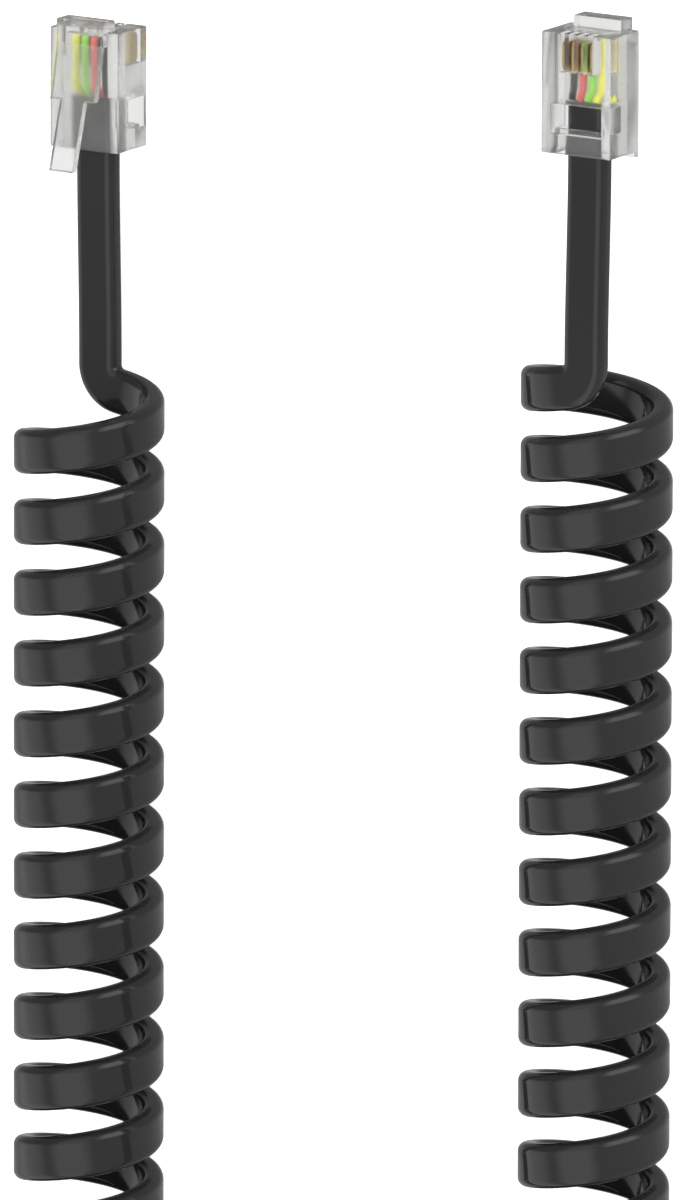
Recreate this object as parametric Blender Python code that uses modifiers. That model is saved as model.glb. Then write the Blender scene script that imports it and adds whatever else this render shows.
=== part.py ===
"""A curly telephone handset cord with a clear four-contact plug on each end.

The cord lies on a level floor as a long U. Its two coiled legs run along Y,
the bend is at -Y, and both plugs point to +Y. The left leg is at -X.
"""
import math

import bmesh
import bpy
from mathutils import Matrix, Vector

MM = 0.001

# The flat cord and its coil
CORD_WIDTH = 4.2 * MM
CORD_THICKNESS = 2.1 * MM
CORD_CORNER_RADIUS = 0.8 * MM
COIL_RADIUS = 7.15 * MM          # to the outside of the coil
COIL_PITCH = 6.8 * MM
COIL_TURNS = 49.626

# The U that the coil's axis follows
LEG_SPACING = 56.4 * MM
LEG_STAGGER = 9.0 * MM           # how much farther the right leg reaches
BEND_DEPTH = 36.0 * MM           # along Y, from the legs' end to the axis of the bend
BEND_POWER = 2.3                 # of the superellipse that the bend follows
RIGHT_LEG_TOP = 65.49 * MM       # where the right tail turns into the coil

# Where the tails meet the coil, as angles around its axis from +Z towards +X
LEFT_TAIL_ANGLE = math.radians(201.3)
RIGHT_TAIL_ANGLE = math.radians(24.0)
TAIL_TWIST = 0.85                # share of that angle that the tail's flat face turns by
TAIL_STEPS = 8

# Plug housing; its own frame has the nose at +Y and the contacts at +Z
BODY_WIDTH = 7.65 * MM
BODY_THICKNESS = 5.15 * MM
BODY_LENGTH = 11.6 * MM
BODY_BEVEL = 0.15 * MM
NOSE_WIDTH = 5.2 * MM
NOSE_REACH = 1.0 * MM            # of the nose block ahead of the body
NOSE_DEPTH = 1.35 * MM           # of the nose block into the body's thickness
NOSE_RISE = 0.7 * MM             # of the nose block above the latch face
NOSE_LENGTH = 2.4 * MM
LATCH_THICKNESS = 0.75 * MM
LATCH_SHOULDER = 6.5 * MM        # from the body's nose face to the locking shoulder
LATCH_SHOULDER_RISE = 2.1 * MM
LATCH_END_WIDTH = 2.6 * MM
LATCH_OVERHANG = 1.4 * MM        # of the latch beyond the body's cord end
LATCH_END_RISE = 4.1 * MM

# Inside the housing
GAP = 0.3 * MM                   # between touching pieces
JACKET_REACH = 4.9 * MM          # of the cord's jacket into the housing
WINDOW_START = 1.9 * MM          # from the cord end to the strain relief window
WINDOW_LENGTH = 2.9 * MM
WINDOW_WIDTH = 5.6 * MM
BAR_LENGTH = 0.4 * MM            # of the pressed-in strain relief bar
BAR_SINK = 0.8 * MM              # of that bar below the contact face
WIRE_DIAMETER = 0.72 * MM
WIRE_PITCH = 1.02 * MM
WIRE_DROP = 0.7 * MM             # of the wires from mid-thickness towards the latch
NOSE_WALL = 0.6 * MM             # between the wire chamber and the nose face
CONTACT_THICKNESS = 0.36 * MM
CONTACT_LENGTH = 2.8 * MM
CONTACT_SINK = 0.25 * MM         # of the contacts below the contact face
CONTACT_SETBACK = 0.85 * MM      # of the contacts behind the nose face
SLOT_GAP = 0.1 * MM              # beside a contact in its slot
FRONT_SLOT_DEPTH = 1.35 * MM     # of each slot's opening in the nose face
WIRE_COLOURS = {
    "yellow": (0.75, 0.62, 0.05),
    "green": (0.06, 0.42, 0.10),
    "red": (0.60, 0.03, 0.03),
    "black": (0.02, 0.02, 0.02),
}

# Where the plugs lie beside their legs
LEFT_PLUG_OFFSET = -1.9 * MM     # from the left leg's axis, along X
LEFT_TAIL_LENGTH = 23.6 * MM     # from the coil's first turn to the housing
RIGHT_PLUG_OFFSET = -1.2 * MM
RIGHT_TAIL_LENGTH = 20.9 * MM

# Worked out from the sizes above
CORD_RADIUS = COIL_RADIUS - CORD_THICKNESS / 2
LEG_X = LEG_SPACING / 2
LEFT_LEG_TOP = RIGHT_LEG_TOP - LEG_STAGGER
HALF_LENGTH = BODY_LENGTH / 2
HALF_THICKNESS = BODY_THICKNESS / 2
ENTRY_WIDTH = CORD_WIDTH + 2 * GAP
ENTRY_HEIGHT = CORD_THICKNESS + 2 * GAP
JACKET_END = -HALF_LENGTH + JACKET_REACH
CHAMBER_START = JACKET_END + GAP
CHAMBER_END = HALF_LENGTH - NOSE_WALL
CHAMBER_WIDTH = 3 * WIRE_PITCH + WIRE_DIAMETER + 2 * GAP
CHAMBER_HEIGHT = WIRE_DIAMETER + 2 * GAP
LATCH_REACH = HALF_THICKNESS + LATCH_END_RISE
LEFT_PLUG_PLACE = Vector((
    -LEG_X + LEFT_PLUG_OFFSET,
    LEFT_LEG_TOP + LEFT_TAIL_LENGTH + HALF_LENGTH,
    HALF_THICKNESS,
))
RIGHT_PLUG_PLACE = Vector((
    LEG_X + RIGHT_PLUG_OFFSET,
    RIGHT_LEG_TOP + RIGHT_TAIL_LENGTH + HALF_LENGTH,
    LATCH_REACH,
))


def clear_scene():
    for item in list(bpy.data.objects):
        bpy.data.objects.remove(item, do_unlink=True)


def collection(name):
    group = bpy.data.collections.new(name)
    bpy.context.scene.collection.children.link(group)
    return group


def material(name, colour, roughness, metallic=0.0, alpha=1.0):
    made = bpy.data.materials.new(name)
    made.use_nodes = True
    shader = made.node_tree.nodes["Principled BSDF"]
    shader.inputs["Base Color"].default_value = (*colour, 1.0)
    shader.inputs["Roughness"].default_value = roughness
    shader.inputs["Metallic"].default_value = metallic
    shader.inputs["Alpha"].default_value = alpha
    return made


def box(name, group, low, high, look=None):
    """A box between two corners, as a mesh object at the origin."""
    mesh = bpy.data.meshes.new(name)
    shape = bmesh.new()
    size = Vector(high) - Vector(low)
    middle = (Vector(high) + Vector(low)) / 2
    bmesh.ops.create_cube(shape, size=1.0, matrix=Matrix.Translation(middle) @ Matrix.Diagonal((*size, 1.0)))
    shape.to_mesh(mesh)
    shape.free()
    made = bpy.data.objects.new(name, mesh)
    if look:
        mesh.materials.append(look)
    group.objects.link(made)
    return made


def as_mesh(curve_object, group):
    """The curve object's solid as a mesh object of its own, with its caps welded."""
    name = curve_object.name
    look = curve_object.data.materials[0] if curve_object.data.materials else None
    bpy.context.view_layer.update()
    graph = bpy.context.evaluated_depsgraph_get()
    mesh = bpy.data.meshes.new_from_object(curve_object.evaluated_get(graph))
    place = curve_object.matrix_world.copy()
    bpy.data.objects.remove(curve_object, do_unlink=True)
    shape = bmesh.new()
    shape.from_mesh(mesh)
    bmesh.ops.remove_doubles(shape, verts=shape.verts, dist=0.001 * MM)
    bmesh.ops.recalc_face_normals(shape, faces=shape.faces)
    shape.to_mesh(mesh)
    shape.free()
    mesh.name = name
    made = bpy.data.objects.new(name, mesh)
    made.matrix_world = place
    if look and not mesh.materials:
        mesh.materials.append(look)
    group.objects.link(made)
    return made


def side_plate(name, group, outline, width):
    """A flat outline in the YZ plane, extruded across X to the given width."""
    curve = bpy.data.curves.new(name, "CURVE")
    curve.dimensions = "2D"
    curve.fill_mode = "BOTH"
    curve.extrude = width / 2
    spline = curve.splines.new("POLY")
    spline.points.add(len(outline) - 1)
    for point, (y, z) in zip(spline.points, outline):
        point.co = (y, z, 0.0, 1.0)
    spline.use_cyclic_u = True
    made = bpy.data.objects.new(name, curve)
    made.matrix_world = Matrix(((0, 0, 1, 0), (1, 0, 0, 0), (0, 1, 0, 0), (0, 0, 0, 1)))
    group.objects.link(made)
    return as_mesh(made, group)


def guide(made):
    made.hide_render = True
    made.display_type = "WIRE"
    return made


def boolean(target, other, operation):
    step = target.modifiers.new(other.name, "BOOLEAN")
    step.operation = operation
    step.object = guide(other)


def ribbon(name, group, points, tilts, look):
    """A flat-sided cord along the points; each tilt turns its section about its run."""
    section = bpy.data.curves.new(name + "_section", "CURVE")
    section.dimensions = "2D"
    spline = section.splines.new("POLY")
    corners = []
    across = CORD_WIDTH / 2 - CORD_CORNER_RADIUS
    up = CORD_THICKNESS / 2 - CORD_CORNER_RADIUS
    for quarter, (sx, sy) in enumerate(((1, 1), (-1, 1), (-1, -1), (1, -1))):
        for step in range(4):
            angle = math.pi / 2 * (quarter + step / 3)
            corners.append((
                sx * across + CORD_CORNER_RADIUS * math.cos(angle),
                sy * up + CORD_CORNER_RADIUS * math.sin(angle),
            ))
    spline.points.add(len(corners) - 1)
    for point, (x, y) in zip(spline.points, corners):
        point.co = (x, y, 0.0, 1.0)
    spline.use_cyclic_u = True
    profile = guide(bpy.data.objects.new(name + "_section", section))
    guides.objects.link(profile)

    curve = bpy.data.curves.new(name, "CURVE")
    curve.dimensions = "3D"
    curve.twist_mode = "Z_UP"
    curve.bevel_mode = "OBJECT"
    curve.bevel_object = profile
    curve.use_fill_caps = True
    curve.render_resolution_u = 0
    run = curve.splines.new("POLY")
    run.points.add(len(points) - 1)
    for point, place, tilt in zip(run.points, points, tilts):
        point.co = (*place, 1.0)
        point.tilt = tilt
    curve.materials.append(look)
    made = bpy.data.objects.new(name, curve)
    group.objects.link(made)
    return as_mesh(made, group)


def tube(name, group, points, radius, resolution, look):
    curve = bpy.data.curves.new(name, "CURVE")
    curve.dimensions = "3D"
    curve.twist_mode = "Z_UP"
    curve.bevel_depth = radius
    curve.bevel_resolution = resolution
    curve.use_fill_caps = True
    curve.render_resolution_u = 0
    run = curve.splines.new("POLY")
    run.points.add(len(points) - 1)
    for point, place in zip(run.points, points):
        point.co = (*place, 1.0)
    curve.materials.append(look)
    made = bpy.data.objects.new(name, curve)
    group.objects.link(made)
    return as_mesh(made, group)


def bend_points(steps):
    """Half a superellipse from the left leg's end round to the right leg's end."""
    points = []
    for index in range(steps + 1):
        turn = math.pi * index / steps
        x = -LEG_X * math.copysign(abs(math.cos(turn)) ** (2 / BEND_POWER), math.cos(turn))
        y = -BEND_DEPTH * abs(math.sin(turn)) ** (2 / BEND_POWER)
        points.append(Vector((x, y, 0.0)))
    return points


def coil_axis(steps):
    """The axis of the coil from the left tail round to the right one."""
    bend = bend_points(steps)
    fine = bend_points(2000)
    bend_length = sum((b - a).length for a, b in zip(fine, fine[1:]))
    left_leg = (COIL_TURNS * COIL_PITCH - bend_length - LEG_STAGGER) / 2
    bend_top = LEFT_LEG_TOP - left_leg
    shift = Vector((0.0, bend_top, COIL_RADIUS))
    end = CORD_WIDTH / 2
    return [
        Vector((-LEG_X, LEFT_LEG_TOP + end, COIL_RADIUS)),
        *(point + shift for point in bend),
        Vector((LEG_X, RIGHT_LEG_TOP + end, COIL_RADIUS)),
    ]


def tail(name, group, leg_x, leg_top, angle, plug_place, look):
    """The straight end of the cord, from inside the housing to the coil's end face."""
    away = Vector((math.sin(angle), 0.0, math.cos(angle)))
    start = plug_place + Vector((0.0, JACKET_END, 0.0))
    mouth = plug_place + Vector((0.0, -HALF_LENGTH - GAP, 0.0))
    end = Vector((leg_x, leg_top + CORD_WIDTH / 2 + GAP, COIL_RADIUS)) + CORD_RADIUS * away
    points = [start]
    tilts = [0.0]
    lean = angle if math.cos(angle) > 0 else angle - math.pi
    for index in range(TAIL_STEPS + 1):
        along = index / TAIL_STEPS
        share = along * along * (3 - 2 * along)
        place = mouth.lerp(end, share)
        place.y = mouth.y + (end.y - mouth.y) * along
        points.append(place)
        tilts.append(-TAIL_TWIST * lean * share)
    return ribbon(name, group, points, tilts, look)


def housing(name, group, look):
    """The clear one-piece housing with its latch, slots, chamber and cord entry."""
    body = box(
        name, group,
        (-BODY_WIDTH / 2, -HALF_LENGTH, -HALF_THICKNESS),
        (BODY_WIDTH / 2, HALF_LENGTH, HALF_THICKNESS), look,
    )
    edge = body.modifiers.new("edges", "BEVEL")
    edge.width = BODY_BEVEL
    edge.segments = 2
    edge.limit_method = "NONE"

    nose_tip = HALF_LENGTH + NOSE_REACH
    latch_face = -HALF_THICKNESS
    nose = box(
        name + "_nose", guides,
        (-NOSE_WIDTH / 2, nose_tip - NOSE_LENGTH, latch_face - NOSE_RISE),
        (NOSE_WIDTH / 2, nose_tip, latch_face + NOSE_DEPTH),
    )
    boolean(body, nose, "UNION")

    shoulder_y = HALF_LENGTH - LATCH_SHOULDER
    end_y = -HALF_LENGTH - LATCH_OVERHANG
    root_y = nose_tip - NOSE_LENGTH / 2
    root_z = latch_face - NOSE_RISE
    shoulder_z = latch_face - LATCH_SHOULDER_RISE
    end_z = latch_face - LATCH_END_RISE
    wide = [
        (root_y, root_z), (shoulder_y, shoulder_z),
        (shoulder_y, shoulder_z + LATCH_THICKNESS), (root_y, root_z + LATCH_THICKNESS),
    ]
    narrow = [
        (root_y, root_z), (shoulder_y, shoulder_z), (end_y, end_z),
        (end_y, end_z + LATCH_THICKNESS),
        (shoulder_y, shoulder_z + LATCH_THICKNESS), (root_y, root_z + LATCH_THICKNESS),
    ]
    boolean(body, side_plate(name + "_latch_root", guides, wide, NOSE_WIDTH - 2 * BODY_BEVEL), "UNION")
    boolean(body, side_plate(name + "_latch", guides, narrow, LATCH_END_WIDTH), "UNION")

    past = 1.0 * MM
    entry = box(
        name + "_cord_entry", guides,
        (-ENTRY_WIDTH / 2, -HALF_LENGTH - past, -ENTRY_HEIGHT / 2),
        (ENTRY_WIDTH / 2, CHAMBER_START, ENTRY_HEIGHT / 2),
    )
    chamber = box(
        name + "_wire_chamber", guides,
        (-CHAMBER_WIDTH / 2, CHAMBER_START - GAP, -WIRE_DROP - CHAMBER_HEIGHT / 2),
        (CHAMBER_WIDTH / 2, CHAMBER_END, -WIRE_DROP + CHAMBER_HEIGHT / 2),
    )
    window_y = -HALF_LENGTH + WINDOW_START
    window = box(
        name + "_window", guides,
        (-WINDOW_WIDTH / 2, window_y + BAR_LENGTH, 0.0),
        (WINDOW_WIDTH / 2, window_y + WINDOW_LENGTH, HALF_THICKNESS + past),
    )
    bar = box(
        name + "_bar_recess", guides,
        (-WINDOW_WIDTH / 2, window_y, HALF_THICKNESS - BAR_SINK),
        (WINDOW_WIDTH / 2, window_y + BAR_LENGTH + GAP, HALF_THICKNESS + past),
    )
    for cutter in (entry, chamber, window, bar):
        boolean(body, cutter, "DIFFERENCE")
    slot_width = CONTACT_THICKNESS + 2 * SLOT_GAP
    slot_start = HALF_LENGTH - CONTACT_SETBACK - CONTACT_LENGTH - SLOT_GAP
    for index in range(4):
        x = (index - 1.5) * WIRE_PITCH
        slot = box(
            f"{name}_slot_{index + 1}", guides,
            (x - slot_width / 2, slot_start, -WIRE_DROP),
            (x + slot_width / 2, HALF_LENGTH - CONTACT_SETBACK + SLOT_GAP, HALF_THICKNESS + past),
        )
        front = box(
            f"{name}_slot_front_{index + 1}", guides,
            (x - slot_width / 2, HALF_LENGTH - CONTACT_SETBACK, HALF_THICKNESS - FRONT_SLOT_DEPTH),
            (x + slot_width / 2, HALF_LENGTH + past, HALF_THICKNESS + past),
        )
        boolean(body, slot, "DIFFERENCE")
        boolean(body, front, "DIFFERENCE")
    return body


def plug(side, group, place, contacts_up, clear, gold):
    """A housing with four contacts and four wires, placed by an empty at its middle."""
    holder = bpy.data.objects.new(f"{side}_plug", None)
    group.objects.link(holder)
    holder.location = place
    if not contacts_up:
        holder.rotation_euler = (0.0, math.pi, 0.0)
    pieces = [housing(f"{side}_plug_housing", group, clear)]
    contact_y = HALF_LENGTH - CONTACT_SETBACK
    contact_low = -WIRE_DROP + WIRE_DIAMETER / 2 + SLOT_GAP
    for index in range(4):
        x = (index - 1.5) * WIRE_PITCH
        pieces.append(box(
            f"{side}_plug_contact_{index + 1}", group,
            (x - CONTACT_THICKNESS / 2, contact_y - CONTACT_LENGTH, contact_low),
            (x + CONTACT_THICKNESS / 2, contact_y, HALF_THICKNESS - CONTACT_SINK), gold,
        ))
    for index, (colour, value) in enumerate(WIRE_COLOURS.items()):
        x = (1.5 - index) * WIRE_PITCH
        run = [
            Vector((x, CHAMBER_START, -WIRE_DROP)),
            Vector((x, CHAMBER_END - GAP, -WIRE_DROP)),
        ]
        look = material(f"{side}_{colour}_wire", value, 0.4)
        pieces.append(tube(f"{side}_plug_wire_{colour}", group, run, WIRE_DIAMETER / 2, 2, look))
    for piece in pieces:
        piece.parent = holder
    for helper in guides.objects:
        if helper.name.startswith(pieces[0].name):
            helper.parent = holder


clear_scene()
part = collection("telephone_cord")
guides = collection("guides")

black = material("black_cord", (0.018, 0.018, 0.020), 0.3)
tail_black = material("black_tail", (0.018, 0.018, 0.020), 0.35)
clear_plastic = material("clear_plastic", (0.78, 0.78, 0.77), 0.08, alpha=0.35)
gold_metal = material("gold_contact", (0.85, 0.66, 0.28), 0.25, metallic=1.0)

tube("coiled_cord", part, coil_axis(24), COIL_RADIUS, 4, black)
tail("left_tail", part, -LEG_X, LEFT_LEG_TOP, LEFT_TAIL_ANGLE, LEFT_PLUG_PLACE, tail_black)
tail("right_tail", part, LEG_X, RIGHT_LEG_TOP, RIGHT_TAIL_ANGLE, RIGHT_PLUG_PLACE, tail_black)
plug("left", part, LEFT_PLUG_PLACE, False, clear_plastic, gold_metal)
plug("right", part, RIGHT_PLUG_PLACE, True, clear_plastic, gold_metal)
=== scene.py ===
"""A curly telephone handset cord with a clear modular plug on each end.

The flat cord is one ribbon, carried along its straight tails, its two corners
and the helix between them. Each plug has a clear housing, four gold contacts
and four insulated wires.
"""

import math

import bmesh
import bpy
import numpy as np
from bpy.props import FloatProperty, FloatVectorProperty, IntProperty, PointerProperty
from mathutils import Matrix


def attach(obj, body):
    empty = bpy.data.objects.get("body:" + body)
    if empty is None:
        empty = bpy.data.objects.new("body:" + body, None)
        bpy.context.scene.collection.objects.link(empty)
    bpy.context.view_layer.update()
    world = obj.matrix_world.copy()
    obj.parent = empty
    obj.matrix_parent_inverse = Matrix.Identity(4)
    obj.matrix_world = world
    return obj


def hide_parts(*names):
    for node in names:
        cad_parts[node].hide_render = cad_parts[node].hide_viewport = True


bl_info = {
    "name": "Telephone Cord",
    "version": (1, 0, 0),
    "blender": (4, 5, 0),
    "location": "3D View > Sidebar > Telephone Cord",
    "description": "Builds a curly handset cord with two clear plugs, and its studio",
    "category": "Add Mesh",
}

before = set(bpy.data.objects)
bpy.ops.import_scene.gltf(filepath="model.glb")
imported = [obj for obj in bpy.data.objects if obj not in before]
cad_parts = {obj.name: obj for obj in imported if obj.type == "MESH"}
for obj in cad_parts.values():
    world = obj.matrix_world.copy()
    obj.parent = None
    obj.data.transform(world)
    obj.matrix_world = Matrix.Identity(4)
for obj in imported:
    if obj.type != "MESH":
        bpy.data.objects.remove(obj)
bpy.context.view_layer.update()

MM = 0.001
BODY = "root"
SIDES = ("left", "right")

# The cord's route, within a few tenths of a millimetre of its solids
LEG_X = 28.2 * MM
RIGHT_LEG_TOP = 65.62 * MM
LEFT_LEG_TOP = 56.6 * MM
BEND_DEPTH = 36.0 * MM
BEND_POWER = 2.3
COIL_LENGTH = 337.457 * MM
LEFT_TAIL_ANGLE = math.radians(204.7)
RIGHT_TAIL_ANGLE = math.radians(23.8)
COIL_TURNS = 49 + (LEFT_TAIL_ANGLE + RIGHT_TAIL_ANGLE) / (2 * math.pi)
LEFT_LEVEL = math.pi
RIGHT_LEVEL = 0.0
BEND_POINTS = 6000
AXIS_STEP = 0.5 * MM
PIECE_GAP = 0.3 * MM

# Cross-sections of each tail: inside the housing, down to the coil, beside it, and round the corner
HOUSED_STEPS = 10
TAIL_STEPS = 56
SEAT_STEPS = 8
CORNER_STEPS = 22
EDGE_STEPS = 7

# Where the turns' spacing changes, as lengths along the coil from its left end
PITCH_PLACES = np.array([0.0, 75.0, 110.0, 225.0, 262.0, 337.457]) * MM
LEFT_LOW_PITCH = 6.889 * MM
RIGHT_LOW_PITCH = 6.82 * MM

# Plugs: where the middle of each housing lies, and the housing's own sizes
LEFT_PLUG_PLACE = (-30.1 * MM, 85.89 * MM, 2.575 * MM)
RIGHT_PLUG_PLACE = (27.0 * MM, 92.19 * MM, 6.675 * MM)
HALF_LENGTH = 5.8 * MM
HALF_THICKNESS = 2.575 * MM
JACKET_END = -0.9 * MM
CHAMBER_END = 5.2 * MM
WIRE_DROP = 0.7 * MM
WIRE_PITCH = 1.02 * MM
CONTACT_FRONT = 4.95 * MM
CONTACT_LENGTH = 2.8 * MM
CONTACT_SINK = 0.25 * MM
CONTACT_FOOT = -0.24 * MM
CONTACT_ROUND = 0.45 * MM
CONTACT_NOTCH = 0.35 * MM
CONTACT_PRONG = 0.3 * MM
CONTACT_EASE = 0.06 * MM
CONTACT_STEPS = 6
WELD_DISTANCE = 0.002 * MM
FLAT_ANGLE = math.radians(1.0)
BEVEL_ANGLE = math.radians(30.0)
SHARP_ANGLE = math.radians(35.0)

# Wires: how near together they leave the jacket, by when they are apart, and their rounded ends
WIRE_START = 0.05 * MM
WIRE_GATHERED = 0.86
WIRE_SPREAD_BY = 0.2
WIRE_STEPS = 28
WIRE_SIDES = 20
WIRE_FIRST_SHARE = 0.9
WIRE_LAST_SHARE = 0.82
WIRE_COLOURS = {
    "yellow": (0.97, 0.95, 0.06),
    "green": (0.34, 0.94, 0.05),
    "red": (0.97, 0.14, 0.11),
    "black": (0.02, 0.02, 0.02),
}
WIRE_NAMES = tuple(WIRE_COLOURS)

# Surfaces: wipe scale, speck scale and the roughness that they lie between, then the bump's strength
JACKET_MARKS = (220.0, 3000.0, 0.07, 0.11)
JACKET_BUMP = 0.05
PLASTIC_MARKS = (500.0, 4000.0, 0.14, 0.22)
PLASTIC_BUMP = 0.04
PLASTIC_CLEARNESS = 0.96
PLASTIC_IOR = 1.5
GOLD_MARKS = (800.0, 6000.0, 0.12, 0.25)
GOLD_BUMP = 0.1
WIRE_MARKS = (900.0, 7000.0, 0.25, 0.4)
WIRE_BUMP = 0.08
BUMP_DEPTH = 0.02 * MM

# The photograph's height in pixels and where the camera stands
FRAME_HEIGHT = 1200
PIXELS_PER_MM = 10.6
CAMERA_TILT = math.radians(32.0)
CAMERA_END_TILT = math.radians(12.3)
CAMERA_ROLL = math.radians(0.154)
CAMERA_DISTANCE = 2.6
CAMERA_CLIP = (0.1, 20.0)
VIEW_CENTRE_ACROSS = -3.69 * MM
VIEW_CENTRE_UP = 38.23 * MM
VIEW_CENTRE_BACK = 14.26 * MM
SENSOR = 36.0

# The studio's long soft panels beside the cord and beyond its plugs, over an even fill:
# each panel's middle, in degrees from overhead towards +X, and its brightness
FILL_TONE = 0.4
SIDE_PANELS = ((5.0, 1.1), (-70.0, 0.9))
END_FILL_TONE = 0.25
END_PANELS = ((5.0, 0.8), (75.0, 1.8))
PANEL_FULL = math.radians(15.0)
PANEL_EDGE = math.radians(40.0)
END_STARTS = 0.0
END_FULL = 0.3
POLE_TONE = 0.25
POLE_STARTS = 0.75
POLE_FULL = 0.92

# What light meets that has gone through the plastic: below the horizon, above it, and above it
# once it has left a matt surface
HORIZON = 0.02
THROUGH_LOW_TONE = 0.98
THROUGH_HIGH_TONE = 0.95
THROUGH_INSIDE_TONE = 2.8

FLOOR_REACH = 4.0
FLOOR_DROP = 0.02 * MM
FLOOR_GLOW = 0.9
FLOOR_ROUGHNESS = 0.9


# Settings that a user would change

class CordSettings(bpy.types.PropertyGroup):
    width: FloatProperty(
        name="Width", description="Width of the flat cord across its flat faces",
        default=4.3 * MM, unit="LENGTH", subtype="DISTANCE", precision=5,
    )
    thickness: FloatProperty(
        name="Thickness", description="Thickness of the flat cord",
        default=2.06 * MM, unit="LENGTH", subtype="DISTANCE", precision=5,
    )
    corner: FloatProperty(
        name="Corner radius", description="Radius of the flat cord's four long corners",
        default=0.88 * MM, unit="LENGTH", subtype="DISTANCE", precision=5,
    )
    coil_radius: FloatProperty(
        name="Coil radius", description="Radius of the coil, to its outside",
        default=7.15 * MM, unit="LENGTH", subtype="DISTANCE", precision=5,
    )
    first_pitch: FloatProperty(
        name="First pitch", description="Distance from one turn to the next at the coil's left end",
        default=6.867 * MM, unit="LENGTH", subtype="DISTANCE", precision=5,
    )
    last_pitch: FloatProperty(
        name="Last pitch", description="Distance from one turn to the next at the coil's right end",
        default=6.757 * MM, unit="LENGTH", subtype="DISTANCE", precision=5,
    )
    corner_turn: FloatProperty(
        name="Tail bend radius",
        description="Radius at which each tail turns into the coil, at the middle of the cord",
        default=2.5 * MM, unit="LENGTH", subtype="DISTANCE", precision=5,
    )
    stations: IntProperty(
        name="Stations", description="Cross-sections in each turn of the coil",
        default=56, min=12, max=96,
    )
    colour: FloatVectorProperty(
        name="Colour", description="Colour of the cord's jacket",
        default=(0.026, 0.026, 0.027), size=3, min=0.0, max=1.0, subtype="COLOR",
    )


class PlugSettings(bpy.types.PropertyGroup):
    edge: FloatProperty(
        name="Edge radius", description="Radius of the housing's moulded edges",
        default=0.08 * MM, unit="LENGTH", subtype="DISTANCE", precision=5,
    )
    contact_thickness: FloatProperty(
        name="Contact thickness", description="Thickness of each contact blade",
        default=0.36 * MM, unit="LENGTH", subtype="DISTANCE", precision=5,
    )
    wire_diameter: FloatProperty(
        name="Wire diameter", description="Diameter of each insulated wire",
        default=0.72 * MM, unit="LENGTH", subtype="DISTANCE", precision=5,
    )
    plastic: FloatVectorProperty(
        name="Plastic", description="Tint of the clear housing",
        default=(0.93, 0.93, 0.92), size=3, min=0.0, max=1.0, subtype="COLOR",
    )
    haze: FloatVectorProperty(
        name="Haze", description="Colour that light keeps on its way through the plastic",
        default=(0.50, 0.50, 0.49), size=3, min=0.0, max=1.0, subtype="COLOR",
    )
    haze_density: FloatProperty(
        name="Haze density", description="How fast light fades on its way through the plastic",
        default=62.0, min=0.0, max=5000.0,
    )
    gold: FloatVectorProperty(
        name="Contacts", description="Colour of the contacts' plating",
        default=(0.82, 0.64, 0.27), size=3, min=0.0, max=1.0, subtype="COLOR",
    )


class StudioSettings(bpy.types.PropertyGroup):
    floor: FloatVectorProperty(
        name="Floor", description="Colour of the floor",
        default=(0.95, 0.95, 0.95), size=3, min=0.0, max=1.0, subtype="COLOR",
    )
    power: FloatProperty(
        name="Light", description="Brightness of the studio's panels",
        default=1.0, min=0.0, max=10.0,
    )


# Arrays and meshes

def smoothstep(t):
    """3t^2 - 2t^3, from 0 to 1 with level ends."""
    t = np.clip(t, 0.0, 1.0)
    return t * t * (3.0 - 2.0 * t)


def skin_faces(rows, columns, caps):
    """Quads between neighbouring rows of a tube's points, and a face over each end."""
    row = np.arange(rows - 1)[:, None] * columns
    here = np.arange(columns)[None, :]
    after = (here + 1) % columns
    quads = np.stack([row + here, row + after, row + columns + after, row + columns + here], axis=-1)
    faces = quads.reshape(-1, 4).tolist()
    if caps:
        faces.append(list(range(columns))[::-1])
        faces.append([(rows - 1) * columns + i for i in range(columns)])
    return faces


def tube_object(name, points, normals=None, caps=True):
    """Points, as rows of one closed ring each, made a mesh object with smooth sides."""
    rows, columns = points.shape[:2]
    mesh = bpy.data.meshes.new(name)
    mesh.from_pydata(points.reshape(-1, 3), [], skin_faces(rows, columns, caps))
    sides = (rows - 1) * columns
    smooth = np.arange(len(mesh.polygons)) < sides
    mesh.polygons.foreach_set("use_smooth", smooth)
    if normals is not None:
        mesh.normals_split_custom_set_from_vertices(normals.reshape(-1, 3))
    mesh.update()
    made = bpy.data.objects.new(name, mesh)
    bpy.context.scene.collection.objects.link(made)
    return made


def rounded_rectangle(width, height, radius, steps):
    """Ring of points round a rectangle with round corners, and the outward direction at each."""
    turn = np.linspace(0.0, math.pi / 2, steps)
    angles = np.concatenate([turn + quarter * math.pi / 2 for quarter in range(4)])
    signs = np.repeat(np.array([(1, 1), (-1, 1), (-1, -1), (1, -1)]), steps, axis=0)
    outward = np.stack([np.cos(angles), np.sin(angles)], axis=-1)
    middle = signs * np.array([width / 2 - radius, height / 2 - radius])
    return middle + radius * outward, outward


# The cord

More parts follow.
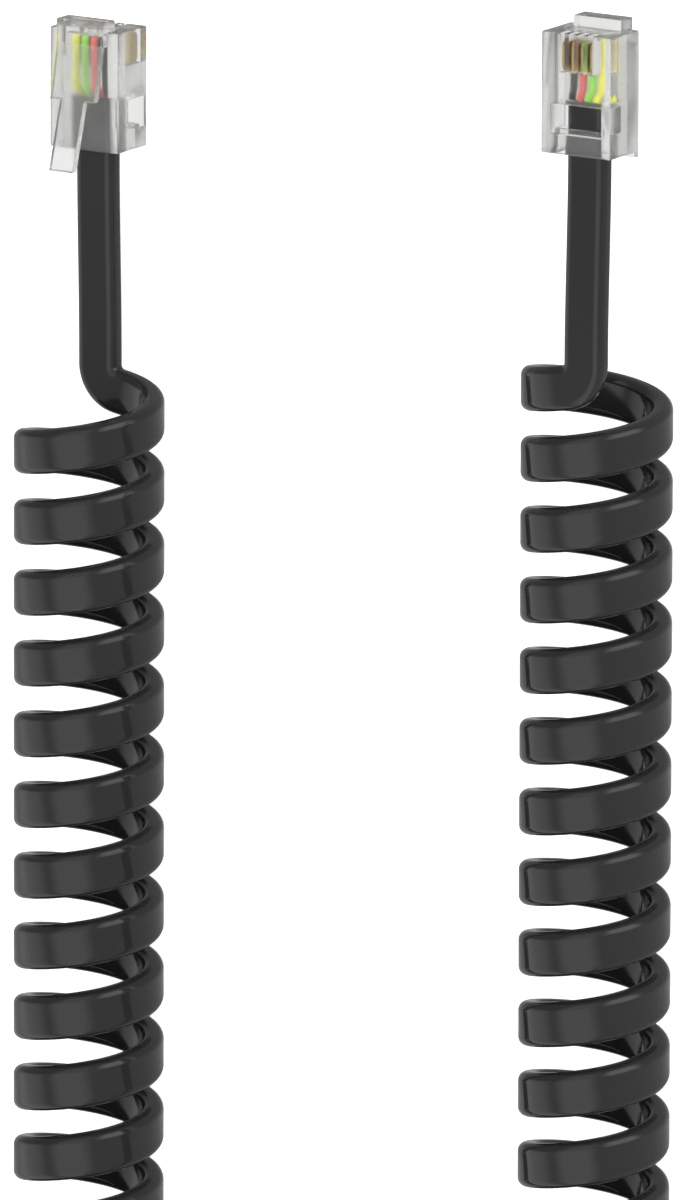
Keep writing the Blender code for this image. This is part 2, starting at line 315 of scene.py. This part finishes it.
def coil_angles(lengths, cord):
    """Where the ribbon is round the coil, and its slope, at the given lengths from the left tail.

    The turns in each metre, 1 / pitch, run in straight lines between
    PITCH_PLACES. The bend takes the turns that the two legs leave of the whole.
    """
    a, b, c, d = 1 / np.array([cord.first_pitch, LEFT_LOW_PITCH, RIGHT_LOW_PITCH, cord.last_pitch])
    span = np.diff(PITCH_PLACES)
    legs = (a + b) * span[0] / 2 + b * span[1] / 2 + c * span[3] / 2 + (c + d) * span[4] / 2
    bend = (COIL_TURNS - legs) / (span[1] / 2 + span[2] + span[3] / 2)
    even = np.linspace(0.0, COIL_LENGTH, BEND_POINTS)
    density = np.interp(even, PITCH_PLACES, [a, b, bend, bend, c, d])
    steps = (density[1:] + density[:-1]) / 2 * np.diff(even)
    turns = np.interp(lengths, even, np.concatenate([[0.0], np.cumsum(steps)]))
    pitch = 1 / np.interp(lengths, even, density)
    slopes = np.arctan2(pitch, 2 * math.pi * (cord.coil_radius - cord.thickness / 2))
    return LEFT_TAIL_ANGLE - 2 * math.pi * turns, slopes


def axis_at(lengths, cord):
    """Points of the coil's axis, and its directions, at the given lengths from the left tail.

    The axis runs straight down the left leg, round half a superellipse,
    |x/a|^n + |y/b|^n = 1, and straight up the right leg.
    """
    turn = np.linspace(0.0, math.pi, BEND_POINTS)
    power = 2.0 / BEND_POWER
    x = -LEG_X * np.sign(np.cos(turn)) * np.abs(np.cos(turn)) ** power
    y = -BEND_DEPTH * np.abs(np.sin(turn)) ** power
    bend = np.hypot(np.diff(x), np.diff(y)).sum()
    stagger = RIGHT_LEG_TOP - LEFT_LEG_TOP
    left_leg = (COIL_LENGTH - bend - stagger) / 2
    x = np.concatenate([[-LEG_X], x, [LEG_X]])
    y = np.concatenate([[LEFT_LEG_TOP], y + LEFT_LEG_TOP - left_leg, [RIGHT_LEG_TOP]])
    along = np.concatenate([[0.0], np.cumsum(np.hypot(np.diff(x), np.diff(y)))])

    def point(s):
        return np.stack([np.interp(s, along, x), np.interp(s, along, y)], axis=-1)

    flat = point(lengths)
    run = point(lengths + AXIS_STEP) - point(lengths - AXIS_STEP)
    run /= np.linalg.norm(run, axis=-1, keepdims=True)
    up = np.full((len(lengths), 1), cord.coil_radius)
    return np.hstack([flat, up]), np.hstack([run, np.zeros((len(lengths), 1))])


def wound(centres, runs, angles, radius, cross, low, high):
    """Places on a coil round the axis, with the ribbon's outward and width directions.

    angle turns from straight up towards the axis's own side direction; cross is
    the angle between the ribbon's width and the way round the coil. Past the
    angles low and high the ribbon leaves the coil straight, in its own plane.
    """
    up = np.array([0.0, 0.0, 1.0])
    side = np.cross(up, runs)
    held = np.clip(angles, low, high)
    cos, sin = np.cos(held)[:, None], np.sin(held)[:, None]
    outward = cos * up + sin * side
    around = cos * side - sin * up
    width = np.cos(cross)[:, None] * around + np.sin(cross)[:, None] * runs
    places = centres + radius * (outward + (angles - held)[:, None] * around)
    return places, outward, width


def tail_run(leg_x, leg_top, angle, level, plug_place, pitch, cord):
    """The cord from inside a housing down its tail and round its corner into the coil.

    The tail's middle eases across with 3t^2 - 2t^3 as it comes down, its flat
    face level. The corner is an arc in that same level plane, which touches
    the coil at the angle level, from along the axis to the helix's own slope.
    """
    radius = cord.coil_radius - cord.thickness / 2
    sweep = math.pi / 2 - math.atan2(pitch, 2 * math.pi * radius)
    lead = cord.corner_turn * math.tan(sweep / 2)
    place = np.array(plug_place)
    facing = np.array([0.0, 0.0, math.cos(level)])
    across = np.array([math.cos(level), 0.0, 0.0])
    coil_top = np.array([leg_x, leg_top + cord.width / 2 + PIECE_GAP, cord.coil_radius])
    coil_top += radius * (facing + (angle - level) * across)
    mouth = place - np.array([0.0, HALF_LENGTH + PIECE_GAP, 0.0])

    y = np.concatenate([
        np.linspace(place[1] + JACKET_END, mouth[1], HOUSED_STEPS)[:-1],
        np.linspace(mouth[1], coil_top[1], TAIL_STEPS)[:-1],
        np.linspace(coil_top[1], leg_top + lead, SEAT_STEPS)[:-1],
    ])
    share = smoothstep((mouth[1] - y) / (mouth[1] - coil_top[1]))[:, None]
    centres = mouth * (1 - share) + coil_top * share
    centres[:, 1] = y
    outward = np.tile(facing, (len(y), 1))
    width = np.tile(across, (len(y), 1))

    arc = np.linspace(0.0, sweep, CORNER_STEPS)
    round_by = cord.corner_turn * (1 - np.cos(arc)) / radius
    down_by = -lead + cord.corner_turn * np.sin(arc)
    axis = np.stack([
        np.full_like(arc, leg_x), leg_top - down_by, np.full_like(arc, cord.coil_radius),
    ], axis=-1)
    down = np.tile([0.0, -1.0, 0.0], (len(arc), 1))
    corner = wound(axis, down, angle - round_by, radius, arc, -math.pi, level)
    return [np.vstack(pair) for pair in zip((centres, outward, width), corner)], down_by[-1]


def cord_run(cord):
    """Middle, outward and width directions of the whole cord, from the left plug to the right one."""
    radius = cord.coil_radius - cord.thickness / 2
    left, start = tail_run(
        -LEG_X, LEFT_LEG_TOP, LEFT_TAIL_ANGLE, LEFT_LEVEL, LEFT_PLUG_PLACE, cord.first_pitch, cord,
    )
    right, stop = tail_run(
        LEG_X, RIGHT_LEG_TOP, RIGHT_TAIL_ANGLE, RIGHT_LEVEL, RIGHT_PLUG_PLACE, cord.last_pitch, cord,
    )
    count = int(COIL_TURNS * cord.stations)
    lengths = np.linspace(start, COIL_LENGTH - stop, count)[1:-1]
    centres, runs = axis_at(lengths, cord)
    angles, slopes = coil_angles(lengths, cord)
    last = 2 * math.pi * math.ceil((LEFT_TAIL_ANGLE - 2 * math.pi * COIL_TURNS) / (2 * math.pi))
    coil = wound(centres, runs, angles, radius, math.pi / 2 - slopes, last, LEFT_LEVEL)
    back = (right[0][::-1], right[1][::-1], -right[2][::-1])
    return [np.vstack(parts) for parts in zip(left, coil, back)]


def flat_cord(cord):
    """The whole cord as one ribbon: a rounded rectangle carried along cord_run."""
    middle, outward, width = cord_run(cord)
    ring, ring_out = rounded_rectangle(cord.width, cord.thickness, cord.corner, EDGE_STEPS)
    points = (
        middle[:, None, :]
        + ring[None, :, 0:1] * width[:, None, :]
        + ring[None, :, 1:2] * outward[:, None, :]
    )
    normals = ring_out[None, :, 0:1] * width[:, None, :] + ring_out[None, :, 1:2] * outward[:, None, :]
    made = tube_object("handset_cord", points, normals)
    return made, middle


# Node groups and materials

def node_group(name, inputs, outputs):
    """An empty shader node group with float or colour sockets; returns it with its two end nodes."""
    group = bpy.data.node_groups.new(name, "ShaderNodeTree")
    for label, kind, default in inputs:
        socket = group.interface.new_socket(label, in_out="INPUT", socket_type=kind)
        socket.default_value = default
    for label, kind in outputs:
        group.interface.new_socket(label, in_out="OUTPUT", socket_type=kind)
    return group, group.nodes.new("NodeGroupInput"), group.nodes.new("NodeGroupOutput")


def handling_marks():
    """Faint wipe marks and dust specks: a roughness value and a height, both in object space."""
    group, given, out = node_group(
        "handling_marks",
        [
            ("Wipe Scale", "NodeSocketFloat", 300.0),
            ("Speck Scale", "NodeSocketFloat", 2500.0),
            ("Roughness Low", "NodeSocketFloat", 0.05),
            ("Roughness High", "NodeSocketFloat", 0.12),
        ],
        [("Roughness", "NodeSocketFloat"), ("Height", "NodeSocketFloat")],
    )
    nodes, links = group.nodes, group.links
    coords = nodes.new("ShaderNodeTexCoord")
    wipe = nodes.new("ShaderNodeTexNoise")
    wipe.inputs["Detail"].default_value = 3.0
    speck = nodes.new("ShaderNodeTexNoise")
    speck.inputs["Detail"].default_value = 2.0
    spread = nodes.new("ShaderNodeMapRange")
    spread.inputs["From Min"].default_value = 0.35
    spread.inputs["From Max"].default_value = 0.65
    links.new(coords.outputs["Object"], wipe.inputs["Vector"])
    links.new(coords.outputs["Object"], speck.inputs["Vector"])
    links.new(given.outputs["Wipe Scale"], wipe.inputs["Scale"])
    links.new(given.outputs["Speck Scale"], speck.inputs["Scale"])
    links.new(wipe.outputs["Fac"], spread.inputs["Value"])
    links.new(given.outputs["Roughness Low"], spread.inputs["To Min"])
    links.new(given.outputs["Roughness High"], spread.inputs["To Max"])
    links.new(spread.outputs["Result"], out.inputs["Roughness"])
    links.new(speck.outputs["Fac"], out.inputs["Height"])
    return group


def group_once(build):
    """The node group of a builder, made the first time that it is asked for."""
    return bpy.data.node_groups.get(build.__name__) or build()


def surface(name, colour, metallic=0.0, ior=1.5, transmission=0.0, marks=None, bump=0.0):
    """A Principled material; marks are the handling_marks values as (wipe, speck, low, high)."""
    material = bpy.data.materials.new(name)
    material.use_nodes = True
    nodes, links = material.node_tree.nodes, material.node_tree.links
    shader = nodes["Principled BSDF"]
    shader.inputs["Base Color"].default_value = (*colour, 1.0)
    shader.inputs["Metallic"].default_value = metallic
    shader.inputs["IOR"].default_value = ior
    shader.inputs["Transmission Weight"].default_value = transmission
    if marks:
        group = nodes.new("ShaderNodeGroup")
        group.node_tree = group_once(handling_marks)
        for label, value in zip(("Wipe Scale", "Speck Scale", "Roughness Low", "Roughness High"), marks):
            group.inputs[label].default_value = value
        links.new(group.outputs["Roughness"], shader.inputs["Roughness"])
        if bump:
            relief = nodes.new("ShaderNodeBump")
            relief.inputs["Strength"].default_value = bump
            relief.inputs["Distance"].default_value = BUMP_DEPTH
            links.new(group.outputs["Height"], relief.inputs["Height"])
            links.new(relief.outputs["Normal"], shader.inputs["Normal"])
    return material


# Plug pieces, each in the housing's own frame: nose at +Y, contacts at +Z

def plug_matrix(side):
    """Where a plug's own frame lies in the room."""
    if side == "left":
        return Matrix.Translation(LEFT_PLUG_PLACE) @ Matrix.Rotation(math.pi, 4, "Y")
    return Matrix.Translation(RIGHT_PLUG_PLACE)


def placed(made, side, slot, *nodes):
    """Moves a finished piece's mesh to its plug, attaches it to the body and hides the model's nodes
    that it stands for.
    """
    made.data.transform(plug_matrix(side))
    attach(made, BODY)
    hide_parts(*nodes)
    return made


def clear_plastic(plug):
    """Clear plastic that lets less light through where it is thicker."""
    material = surface(
        "clear_polycarbonate", plug.plastic, ior=PLASTIC_IOR, transmission=PLASTIC_CLEARNESS,
        marks=PLASTIC_MARKS, bump=PLASTIC_BUMP,
    )
    tree = material.node_tree
    haze = tree.nodes.new("ShaderNodeVolumeAbsorption")
    haze.inputs["Color"].default_value = (*plug.haze, 1.0)
    haze.inputs["Density"].default_value = plug.haze_density
    tree.links.new(haze.outputs["Volume"], tree.nodes["Material Output"].inputs["Volume"])
    return material


def clear_housing(side, plug, material):
    """The solid housing with its loose triangles joined, and its moulded edges rounded."""
    node = f"{side}_plug_housing"
    source = bpy.data.objects[node]
    shape = bmesh.new()
    shape.from_mesh(source.data)
    bmesh.ops.remove_doubles(shape, verts=shape.verts, dist=WELD_DISTANCE)
    bmesh.ops.dissolve_limit(shape, angle_limit=FLAT_ANGLE, verts=shape.verts, edges=shape.edges)
    mesh = bpy.data.meshes.new(f"{side}_clear_housing")
    shape.to_mesh(mesh)
    shape.free()
    made = bpy.data.objects.new(mesh.name, mesh)
    bpy.context.scene.collection.objects.link(made)
    mesh.materials.clear()
    mesh.materials.append(material)
    edges = made.modifiers.new("moulded_edges", "BEVEL")
    edges.width = plug.edge
    edges.segments = 2
    edges.limit_method = "ANGLE"
    edges.angle_limit = BEVEL_ANGLE
    edges.use_clamp_overlap = True
    mesh.shade_smooth()
    mesh.set_sharp_from_angle(angle=SHARP_ANGLE)
    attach(made, BODY)
    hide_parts(node)
    return made


def contact_outline():
    """A blade's outline from the side: a rounded crown, straight ends and a two-pronged foot."""
    back = CONTACT_FRONT - CONTACT_LENGTH
    crown = HALF_THICKNESS - CONTACT_SINK
    radius = CONTACT_ROUND
    turn = np.linspace(0.0, math.pi / 2, CONTACT_STEPS)
    front_corner = np.stack([
        CONTACT_FRONT - radius + radius * np.cos(turn), crown - radius + radius * np.sin(turn),
    ], axis=-1)
    back_corner = np.stack([
        back + radius - radius * np.sin(turn), crown - radius + radius * np.cos(turn),
    ], axis=-1)
    notch = CONTACT_NOTCH
    middle = (CONTACT_FRONT + back) / 2
    foot = np.array([
        (back, CONTACT_FOOT + notch), (back + CONTACT_PRONG, CONTACT_FOOT),
        (middle - notch, CONTACT_FOOT), (middle, CONTACT_FOOT + notch),
        (middle + notch, CONTACT_FOOT), (CONTACT_FRONT - CONTACT_PRONG, CONTACT_FOOT),
        (CONTACT_FRONT, CONTACT_FOOT + notch),
    ])
    return np.vstack([front_corner, back_corner, foot])


def contact_blade(side, number, plug, material):
    """A gold blade: its side outline, drawn in a little at both faces, carried across its thickness."""
    outline = contact_outline()
    middle = (outline.max(axis=0) + outline.min(axis=0)) / 2
    x = (number - 2.5) * WIRE_PITCH
    half = plug.contact_thickness / 2
    ease = CONTACT_EASE
    size = (outline.max(axis=0) - outline.min(axis=0)).min() / 2
    rings = []
    for offset, inset in ((-half, ease), (-half + ease, 0.0), (half - ease, 0.0), (half, ease)):
        drawn = middle + (outline - middle) * (1 - inset / size)
        rings.append(np.column_stack([np.full(len(drawn), x + offset), drawn]))
    made = tube_object(f"{side}_contact_{number}", np.array(rings)[:, ::-1])
    made.data.polygons.foreach_set("use_smooth", np.zeros(len(made.data.polygons), dtype=bool))
    made.data.materials.append(material)
    return placed(made, side, "gold_contact", f"{side}_plug_contact_{number}")


def wire_path(index):
    """A wire's middle line, from the jacket to under its contact, dropping with 3t^2 - 2t^3."""
    t = np.linspace(0.0, 1.0, WIRE_STEPS)
    start = JACKET_END + WIRE_START
    y = start + t * (CHAMBER_END - PIECE_GAP - start)
    lane = (1.5 - index) * WIRE_PITCH
    eased = smoothstep(t / WIRE_SPREAD_BY)
    x = lane * (WIRE_GATHERED + (1 - WIRE_GATHERED) * eased)
    z = -WIRE_DROP * eased
    return np.stack([x, y, z], axis=-1)


def insulated_wire(side, index, plug, material):
    """A round tube along wire_path, its end rounded over."""
    path = wire_path(index)
    run = np.gradient(path, axis=0)
    run /= np.linalg.norm(run, axis=-1, keepdims=True)
    across = np.cross(run, [0.0, 0.0, 1.0])
    across /= np.linalg.norm(across, axis=-1, keepdims=True)
    up = np.cross(across, run)
    turn = np.linspace(0.0, 2 * math.pi, WIRE_SIDES, endpoint=False)
    radius = np.full(len(path), plug.wire_diameter / 2)
    radius[-1] *= WIRE_LAST_SHARE
    radius[0] *= WIRE_FIRST_SHARE
    points = path[:, None, :] + radius[:, None, None] * (
        np.cos(turn)[None, :, None] * across[:, None, :] + np.sin(turn)[None, :, None] * up[:, None, :]
    )
    made = tube_object(f"{side}_wire_{WIRE_NAMES[index]}", points)
    made.data.materials.append(material)
    return placed(made, side, f"wire_{WIRE_NAMES[index]}", f"{side}_plug_wire_{WIRE_NAMES[index]}")


# The studio

def view_axes():
    """The camera's right, up and back directions, at its two tilts from straight overhead."""
    tilt, end = CAMERA_TILT, CAMERA_END_TILT
    level = np.array([math.cos(tilt), 0.0, -math.sin(tilt)])
    back = np.array([math.sin(tilt) * math.cos(end), math.sin(end), math.cos(tilt) * math.cos(end)])
    upright = np.cross(back, level)
    roll = CAMERA_ROLL
    right = level * math.cos(roll) + upright * math.sin(roll)
    return right, np.cross(back, right), back


def photo_camera():
    """A long lens far off, so that the view has next to no convergence, as in the photograph."""
    right, up, back = view_axes()
    data = bpy.data.cameras.new("photo_camera")
    data.sensor_width = SENSOR
    view_height = FRAME_HEIGHT / PIXELS_PER_MM * MM
    data.lens = SENSOR * CAMERA_DISTANCE / view_height
    data.clip_start, data.clip_end = CAMERA_CLIP
    made = bpy.data.objects.new("photo_camera", data)
    away = VIEW_CENTRE_BACK + CAMERA_DISTANCE
    place = right * VIEW_CENTRE_ACROSS + up * VIEW_CENTRE_UP + back * away
    made.matrix_world = Matrix((
        (right[0], up[0], back[0], place[0]),
        (right[1], up[1], back[1], place[1]),
        (right[2], up[2], back[2], place[2]),
        (0.0, 0.0, 0.0, 1.0),
    ))
    bpy.context.scene.collection.objects.link(made)
    bpy.context.scene.camera = made
    return made


def scaled(tree, colour, factor):
    """A tone multiplied by a number."""
    node = tree.nodes.new("ShaderNodeMath")
    node.operation = "MULTIPLY"
    node.inputs[1].default_value = factor
    tree.links.new(colour, node.inputs[0])
    return node.outputs["Value"]


def blended(tree, factor, first, second):
    """Two tones mixed by a factor; either may be a plain number."""
    node = tree.nodes.new("ShaderNodeMix")
    for socket, given in ((node.inputs[0], factor), (node.inputs[2], first), (node.inputs[3], second)):
        if isinstance(given, float):
            socket.default_value = given
        else:
            tree.links.new(given, socket)
    return node.outputs[0]


def spread_over(tree, value, low, high, smooth=False):
    """A value spread from 0 at low to 1 at high."""
    node = tree.nodes.new("ShaderNodeMapRange")
    if smooth:
        node.interpolation_type = "SMOOTHSTEP"
    node.inputs["From Min"].default_value = low
    node.inputs["From Max"].default_value = high
    tree.links.new(value, node.inputs["Value"])
    return node.outputs["Result"]


def soft_panels(tree, angle, fill, panels):
    """An even fill, and panels over it that fade at their edges with 3t^2 - 2t^3."""
    tone = fill
    for middle, brightness in panels:
        offset = tree.nodes.new("ShaderNodeMath")
        offset.operation = "SUBTRACT"
        offset.inputs[1].default_value = math.radians(middle)
        tree.links.new(angle, offset.inputs[0])
        away = tree.nodes.new("ShaderNodeMath")
        away.operation = "ABSOLUTE"
        tree.links.new(offset.outputs["Value"], away.inputs[0])
        share = spread_over(tree, away.outputs["Value"], PANEL_EDGE, PANEL_FULL, smooth=True)
        tone = blended(tree, share, tone, brightness)
    return tone


def studio_light(studio):
    """A soft studio as the world: long panels beside the cord, and others beyond its plugs.

    Light that has passed through the plastic meets tones of its own.
    """
    world = bpy.data.worlds.new("studio_light")
    world.use_nodes = True
    tree = world.node_tree
    nodes, links = tree.nodes, tree.links
    coords = nodes.new("ShaderNodeTexCoord")
    parts = nodes.new("ShaderNodeSeparateXYZ")
    angle = nodes.new("ShaderNodeMath")
    angle.operation = "ARCTAN2"
    links.new(coords.outputs["Generated"], parts.inputs["Vector"])
    links.new(parts.outputs["X"], angle.inputs[0])
    links.new(parts.outputs["Z"], angle.inputs[1])
    beside = soft_panels(tree, angle.outputs["Value"], FILL_TONE, SIDE_PANELS)
    beyond = soft_panels(tree, angle.outputs["Value"], END_FILL_TONE, END_PANELS)
    towards = spread_over(tree, parts.outputs["Y"], END_STARTS, END_FULL, smooth=True)
    pole = spread_over(tree, parts.outputs["Y"], POLE_STARTS, POLE_FULL, smooth=True)
    tone = blended(tree, towards, beside, beyond)
    tone = blended(tree, pole, tone, POLE_TONE)
    path = nodes.new("ShaderNodeLightPath")
    inside = spread_over(tree, path.outputs["Diffuse Depth"], 0.0, 1.0)
    upward = spread_over(tree, parts.outputs["Z"], -HORIZON, HORIZON)
    through = blended(tree, inside, THROUGH_HIGH_TONE, THROUGH_INSIDE_TONE)
    through = blended(tree, upward, THROUGH_LOW_TONE, through)
    tone = blended(tree, path.outputs["Is Transmission Ray"], tone, through)
    background = nodes["Background"]
    background.inputs["Color"].default_value = (1.0, 1.0, 1.0, 1.0)
    links.new(scaled(tree, tone, studio.power), background.inputs["Strength"])
    bpy.context.scene.world = world
    return world


def studio_floor(studio):
    """A level white floor, which neither reflections nor light through the plastic show."""
    mesh = bpy.data.meshes.new("studio_floor")
    reach = FLOOR_REACH
    mesh.from_pydata(
        [(-reach, -reach, 0.0), (reach, -reach, 0.0), (reach, reach, 0.0), (-reach, reach, 0.0)],
        [], [(0, 1, 2, 3)],
    )
    made = bpy.data.objects.new("studio_floor", mesh)
    made.location.z = -FLOOR_DROP
    made.visible_glossy = False
    made.visible_transmission = False
    bpy.context.scene.collection.objects.link(made)
    material = bpy.data.materials.new("studio_floor")
    material.use_nodes = True
    material.cycles.emission_sampling = "NONE"
    shader = material.node_tree.nodes["Principled BSDF"]
    shader.inputs["Base Color"].default_value = (*studio.floor, 1.0)
    shader.inputs["Roughness"].default_value = FLOOR_ROUGHNESS
    shader.inputs["Specular IOR Level"].default_value = 0.0
    shader.inputs["Emission Color"].default_value = (1.0, 1.0, 1.0, 1.0)
    shader.inputs["Emission Strength"].default_value = FLOOR_GLOW
    mesh.materials.append(material)
    return made


# Operators

class CORD_OT_stage(bpy.types.Operator):
    """Add the camera, the pale floor and the soft studio light"""
    bl_idname = "telephone_cord.stage"
    bl_label = "Studio"

    def execute(self, context):
        studio = context.scene.studio_settings
        photo_camera()
        studio_floor(studio)
        studio_light(studio)
        context.scene.view_settings.view_transform = "Standard"
        return {"FINISHED"}


class CORD_OT_cord(bpy.types.Operator):
    """Add the flat cord, from one plug round the coil to the other"""
    bl_idname = "telephone_cord.cord"
    bl_label = "Flat Cord"

    def execute(self, context):
        cord = context.scene.cord_settings
        made, middle = flat_cord(cord)
        made.data.materials.append(surface(
            "black_jacket", cord.colour, marks=JACKET_MARKS, bump=JACKET_BUMP,
        ))
        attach(made, BODY)
        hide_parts("coiled_cord", "left_tail", "right_tail")
        return {"FINISHED"}


class CORD_OT_housings(bpy.types.Operator):
    """Add the clear housing of each plug"""
    bl_idname = "telephone_cord.housings"
    bl_label = "Plug Housings"

    def execute(self, context):
        plug = context.scene.plug_settings
        clear = clear_plastic(plug)
        for side in SIDES:
            clear_housing(side, plug, clear)
        return {"FINISHED"}


class CORD_OT_contacts(bpy.types.Operator):
    """Add the four gold contacts of each plug"""
    bl_idname = "telephone_cord.contacts"
    bl_label = "Contacts"

    def execute(self, context):
        plug = context.scene.plug_settings
        gold = surface("gold_plating", plug.gold, metallic=1.0, marks=GOLD_MARKS, bump=GOLD_BUMP)
        for side in SIDES:
            for number in range(1, 5):
                contact_blade(side, number, plug, gold)
        return {"FINISHED"}


class CORD_OT_wires(bpy.types.Operator):
    """Add the four insulated wires of each plug"""
    bl_idname = "telephone_cord.wires"
    bl_label = "Wires"

    def execute(self, context):
        plug = context.scene.plug_settings
        for index, (name, colour) in enumerate(WIRE_COLOURS.items()):
            look = surface(f"{name}_insulation", colour, marks=WIRE_MARKS, bump=WIRE_BUMP)
            for side in SIDES:
                insulated_wire(side, index, plug, look)
        return {"FINISHED"}


class CORD_PT_panel(bpy.types.Panel):
    """Buttons and settings of the telephone cord"""
    bl_idname = "CORD_PT_panel"
    bl_label = "Telephone Cord"
    bl_space_type = "VIEW_3D"
    bl_region_type = "UI"
    bl_category = "Telephone Cord"

    def draw(self, context):
        for settings, operators in (
            (context.scene.studio_settings, (CORD_OT_stage,)),
            (context.scene.plug_settings, (CORD_OT_housings, CORD_OT_contacts, CORD_OT_wires)),
            (context.scene.cord_settings, (CORD_OT_cord,)),
        ):
            box = self.layout.box()
            for name in settings.__annotations__:
                box.prop(settings, name)
            for operator in operators:
                box.operator(operator.bl_idname)


CLASSES = (
    CordSettings, PlugSettings, StudioSettings,
    CORD_OT_stage, CORD_OT_housings, CORD_OT_contacts, CORD_OT_wires, CORD_OT_cord,
    CORD_PT_panel,
)


def register():
    for item in CLASSES:
        bpy.utils.register_class(item)
    bpy.types.Scene.cord_settings = PointerProperty(type=CordSettings)
    bpy.types.Scene.plug_settings = PointerProperty(type=PlugSettings)
    bpy.types.Scene.studio_settings = PointerProperty(type=StudioSettings)


def unregister():
    for name in ("cord_settings", "plug_settings", "studio_settings"):
        delattr(bpy.types.Scene, name)
    for item in reversed(CLASSES):
        bpy.utils.unregister_class(item)


def main():
    register()
    bpy.ops.telephone_cord.stage()
    bpy.ops.telephone_cord.housings()
    bpy.ops.telephone_cord.contacts()
    bpy.ops.telephone_cord.wires()
    bpy.ops.telephone_cord.cord()
    bpy.context.view_layer.update()


if __name__ == "__main__":
    main()
